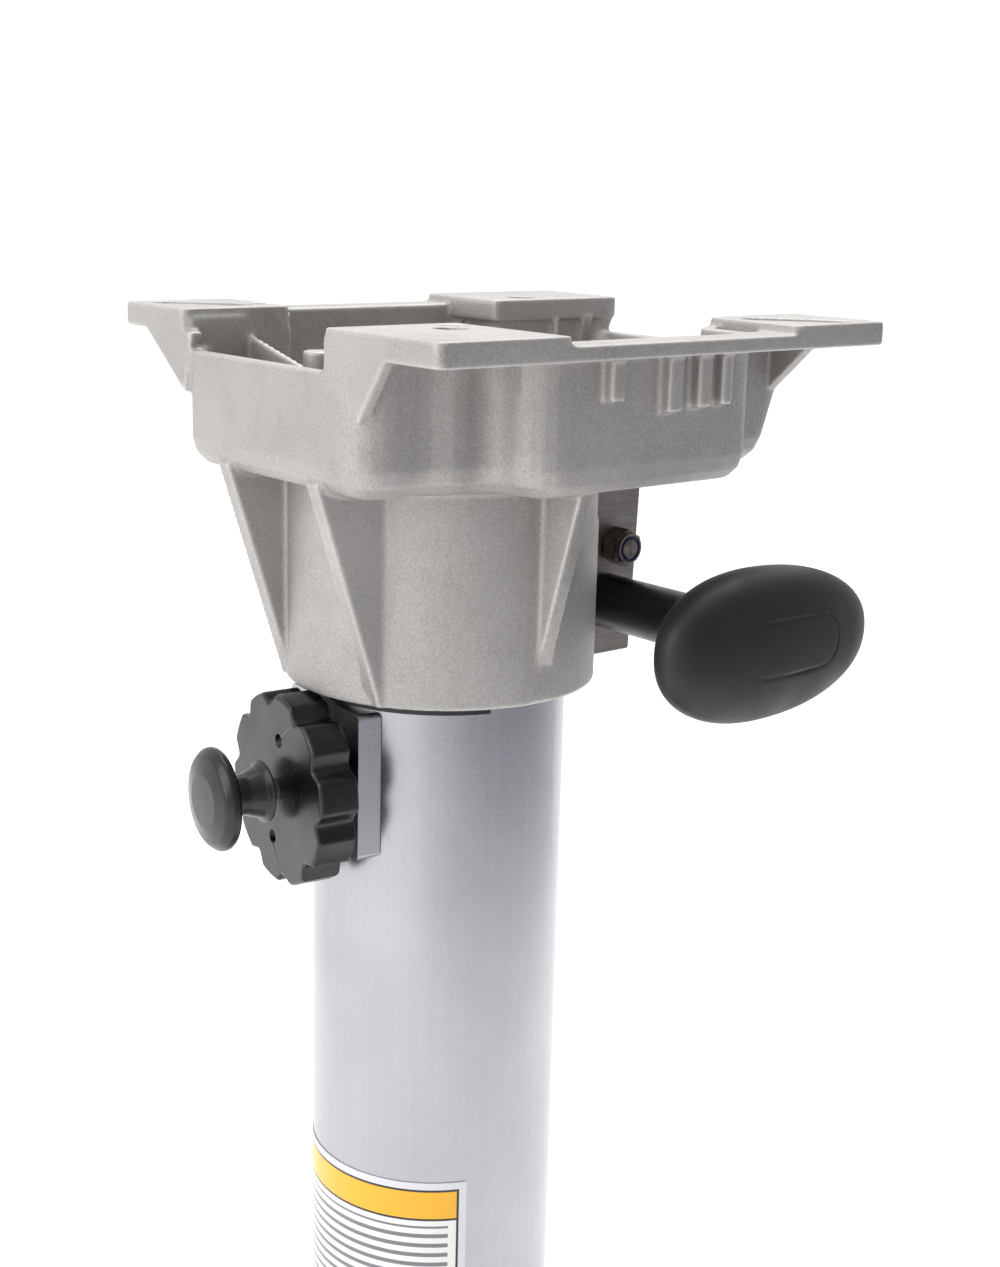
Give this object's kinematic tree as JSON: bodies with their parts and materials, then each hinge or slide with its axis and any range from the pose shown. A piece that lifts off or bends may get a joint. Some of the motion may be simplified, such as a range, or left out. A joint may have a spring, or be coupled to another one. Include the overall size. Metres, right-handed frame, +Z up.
{
  "type": "swivel seat pedestal",
  "caption": "Height-adjustable swivel seat pedestal: cast four-arm seat mount on a telescoping aluminium column, with a swivel lock paddle, a clamp knob and a pull pin.",
  "frame": {"origin": "centre of the base's flat underside, on the column's axis, at deck level", "axes": "+Z up the column's axis; +X towards the seat mount's long end; +Y towards its back side"},
  "size_m": [0.228, 0.228, 0.406],
  "materials": {
    "cast_aluminium": "die-cast, bead-blasted, matte warm grey",
    "anodised_aluminium": "satin clear anodised",
    "stainless_steel": "rolled and stamped",
    "zinc_steel": "zinc plated",
    "spring_steel": "drawn wire",
    "black_coated_steel": "black semi-gloss coating",
    "black_moulding": "moulded, satin",
    "black_nylon": "moulded nylon",
    "white_nylon": "moulded nylon",
    "blue_nylon": "moulded nylon insert",
    "brass": "turned",
    "label_film": "printed film"
  },
  "bodies": {
    "base": {"base_flange": "cast_aluminium", "base_setscrew_1": "zinc_steel", "base_setscrew_2": "zinc_steel", "base_setscrew_3": "zinc_steel", "outer_tube": "anodised_aluminium", "column_top_bush": "black_nylon", "notice_label": "label_film", "clamp_block": "anodised_aluminium", "block_screw_upper": "zinc_steel", "block_screw_lower": "zinc_steel", "clamp_nut": "zinc_steel"},
    "post": {"slide_tube": "anodised_aluminium", "post_foot_bush": "black_nylon", "swivel_hub": "cast_aluminium", "lock_ring": "stainless_steel", "hub_cross_pin": "zinc_steel", "spindle_bolt": "zinc_steel", "spindle_washer": "stainless_steel"},
    "seat_mount": {"seat_mount_casting": "cast_aluminium", "skirt_liner_proud_half": "black_nylon", "skirt_liner_flush_half": "black_nylon", "thrust_washer": "white_nylon", "spindle_bush": "black_nylon", "pivot_bolt": "zinc_steel", "pivot_locknut": "zinc_steel", "locknut_insert": "blue_nylon", "pivot_bush": "black_nylon", "lever_spring": "spring_steel"},
    "lever": {"lever_plate": "stainless_steel", "lever_tube": "black_coated_steel", "paddle_knob": "black_moulding"},
    "clamp_screw": {"clamp_shoe": "brass", "pin_spring": "spring_steel"},
    "clamp_handle": {"clamp_knob": "black_moulding", "clamp_stem": "zinc_steel"},
    "pull_pin": {"lock_pin": "stainless_steel", "pull_knob": "black_moulding"}
  },
  "joints": [
    {"name": "height_slide", "type": "slide", "parent": "base", "child": "post", "axis": [0, 0, 1], "range_m": [0, 0.1016]},
    {"name": "seat_swivel", "type": "hinge", "parent": "post", "child": "seat_mount", "pos_m": [0, 0, 0.36], "axis": [0, 0, 1], "continuous": true},
    {"name": "swivel_lock_lever", "type": "hinge", "parent": "seat_mount", "child": "lever", "pos_m": [0.056, -0.0115, 0.3365], "axis": [0, 1, 0], "range_deg": [0, 5], "stiffness_Nm_per_rad": 3},
    {"name": "clamp_travel", "type": "slide", "parent": "base", "child": "clamp_screw", "axis": [-0.9925, 0.1219, 0], "range_m": [0, 0.0015]},
    {"name": "clamp_knob_turn", "type": "hinge", "parent": "clamp_screw", "child": "clamp_handle", "pos_m": [-0.04764, 0.00585, 0.2754], "axis": [-0.9925, 0.1219, 0], "range_deg": [0, 360]},
    {"name": "pin_pull", "type": "slide", "parent": "clamp_screw", "child": "pull_pin", "axis": [-0.9925, 0.1219, 0], "range_m": [0, 0.008], "stiffness_N_per_m": 900, "springref_m": -0.004, "deforming": ["pin_spring"]}
  ],
  "couplings": [
    {"joint": "clamp_travel", "follows": "clamp_knob_turn", "m_per_rad": 0.00023873}
  ]
}
